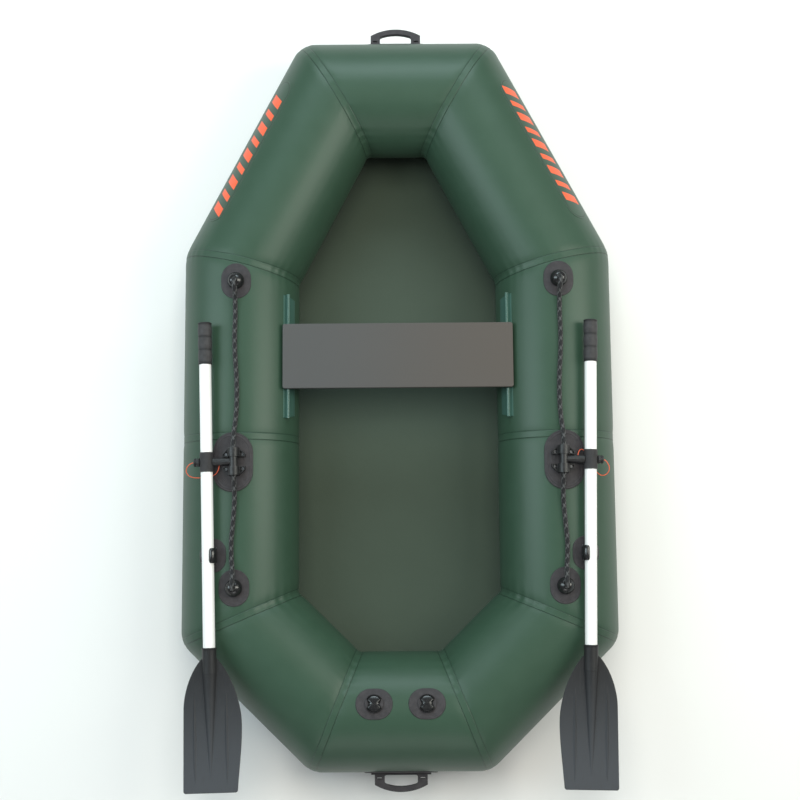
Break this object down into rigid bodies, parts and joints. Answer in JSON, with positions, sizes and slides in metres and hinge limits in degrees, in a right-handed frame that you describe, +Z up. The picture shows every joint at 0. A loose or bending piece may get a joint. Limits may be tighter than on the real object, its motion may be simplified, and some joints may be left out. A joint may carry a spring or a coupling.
{
  "type": "inflatable rowing dinghy",
  "caption": "Small inflatable rowing dinghy: an octagonal ring of air tubes on a floor sheet, with a sliding seat board, handles, lifelines, inflation valves and oars on swivelling rowlocks.",
  "frame": {"origin": "middle of the boat's length and width, on the underside of the floor sheet", "axes": "+Y to the bow, +X to starboard, +Z up"},
  "size_m": [1.1216, 2.012, 0.3385],
  "materials": {
    "hull_fabric": "semi-gloss green coated fabric",
    "floor_fabric": "matt olive-green coated fabric",
    "moulded_rubber": "satin charcoal rubber",
    "moulded_plastic": "satin charcoal plastic",
    "blade_plastic": "satin grey plastic",
    "rope": "black braid",
    "lanyard": "orange cord",
    "oar_white": "satin white coating on aluminium",
    "seat_board": "anthracite coated board",
    "channel": "brushed",
    "steel": "bright",
    "valve_orange": "orange plastic"
  },
  "bodies": {
    "hull": {"bow_tube": "hull_fabric", "bow_quarter_tube_port": "hull_fabric", "bow_quarter_tube_stbd": "hull_fabric", "fore_side_tube_port": "hull_fabric", "fore_side_tube_stbd": "hull_fabric", "aft_side_tube_port": "hull_fabric", "aft_side_tube_stbd": "hull_fabric", "stern_quarter_tube_port": "hull_fabric", "stern_quarter_tube_stbd": "hull_fabric", "stern_tube": "hull_fabric", "bulkheads": "hull_fabric", "floor_sheet": "floor_fabric", "seam_tapes": "hull_fabric", "bow_handle": "moulded_rubber", "stern_handle": "moulded_rubber", "handle_patches": "moulded_rubber", "rope_anchor_patches": "moulded_rubber", "rope_anchors": "moulded_plastic", "lifeline_port": "rope", "lifeline_stbd": "rope", "rowlock_patches": "moulded_rubber", "rowlock_bearings_port": "moulded_plastic", "rowlock_bearings_stbd": "moulded_plastic", "rowlock_screws": "steel", "clip_patches": "moulded_rubber", "paddle_clip_port": "moulded_plastic", "paddle_clip_stbd": "moulded_plastic", "seat_rail_port": "hull_fabric", "seat_rail_stbd": "hull_fabric", "valve_patches": "moulded_rubber", "valve_bodies": "moulded_plastic", "bow_stripes": "hull_fabric"},
    "seat": {"seat_board": "seat_board", "seat_channels": "channel", "seat_screws": "steel"},
    "swivel_port": {"swivel_port": "moulded_plastic", "swivel_nut_port": "moulded_plastic", "lanyard_port": "lanyard"},
    "oar_port": {"oar_shaft_port": "oar_white", "oar_grip_port": "moulded_rubber", "oar_sleeve_port": "moulded_plastic", "oar_blade_port": "blade_plastic", "button_spring_port": "steel"},
    "button_port": {"snap_button_port": "steel"},
    "cap_port": {"valve_cap_port": "moulded_plastic"},
    "poppet_port": {"valve_poppet_port": "valve_orange", "valve_spring_port": "steel"},
    "swivel_stbd": {"swivel_stbd": "moulded_plastic", "swivel_nut_stbd": "moulded_plastic", "lanyard_stbd": "lanyard"},
    "oar_stbd": {"oar_shaft_stbd": "oar_white", "oar_grip_stbd": "moulded_rubber", "oar_sleeve_stbd": "moulded_plastic", "oar_blade_stbd": "blade_plastic", "button_spring_stbd": "steel"},
    "button_stbd": {"snap_button_stbd": "steel"},
    "cap_stbd": {"valve_cap_stbd": "moulded_plastic"},
    "poppet_stbd": {"valve_poppet_stbd": "valve_orange", "valve_spring_stbd": "steel"}
  },
  "joints": [
    {"name": "seat_slide", "type": "slide", "parent": "hull", "child": "seat", "axis": [0, 1, 0], "range_m": [-0.07, 0.07]},
    {"name": "swivel_port_raise", "type": "hinge", "parent": "hull", "child": "swivel_port", "pos_m": [-0.41, -0.178, 0.325], "axis": [-0.0236, 0.9997, 0], "range_deg": [0, 170], "deforming": ["paddle_clip_port"]},
    {"name": "oar_port_row", "type": "hinge", "parent": "swivel_port", "child": "oar_port", "pos_m": [-0.47748, -0.17959, 0.318], "axis": [-0.9944, -0.0234, -0.1032], "range_deg": [0, 2.5]},
    {"name": "button_port_press", "type": "slide", "parent": "oar_port", "child": "button_port", "axis": [0.3255, 0.0077, -0.9455], "range_m": [0, 0.004], "stiffness_N_per_m": 800, "springref_m": -0.002, "deforming": ["button_spring_port"]},
    {"name": "cap_port_turn", "type": "hinge", "parent": "hull", "child": "cap_port", "pos_m": [-0.065, -0.77353, 0.29744], "axis": [0, 0.2164, 0.9763], "range_deg": [0, 90]},
    {"name": "poppet_port_press", "type": "slide", "parent": "hull", "child": "poppet_port", "axis": [0, -0.2164, -0.9763], "range_m": [0, 0.004], "stiffness_N_per_m": 600, "springref_m": -0.004, "deforming": ["valve_spring_port"]},
    {"name": "swivel_stbd_raise", "type": "hinge", "parent": "hull", "child": "swivel_stbd", "pos_m": [0.41, -0.178, 0.325], "axis": [-0.0236, -0.9997, 0], "range_deg": [0, 170], "deforming": ["paddle_clip_stbd"]},
    {"name": "oar_stbd_row", "type": "hinge", "parent": "swivel_stbd", "child": "oar_stbd", "pos_m": [0.47748, -0.17959, 0.318], "axis": [-0.9944, 0.0234, 0.1032], "range_deg": [0, 2.5]},
    {"name": "button_stbd_press", "type": "slide", "parent": "oar_stbd", "child": "button_stbd", "axis": [-0.3255, 0.0077, -0.9455], "range_m": [0, 0.004], "stiffness_N_per_m": 800, "springref_m": -0.002, "deforming": ["button_spring_stbd"]},
    {"name": "cap_stbd_turn", "type": "hinge", "parent": "hull", "child": "cap_stbd", "pos_m": [0.065, -0.77353, 0.29744], "axis": [0, 0.2164, 0.9763], "range_deg": [0, 90]},
    {"name": "poppet_stbd_press", "type": "slide", "parent": "hull", "child": "poppet_stbd", "axis": [0, -0.2164, -0.9763], "range_m": [0, 0.004], "stiffness_N_per_m": 600, "springref_m": -0.004, "deforming": ["valve_spring_stbd"]}
  ]
}
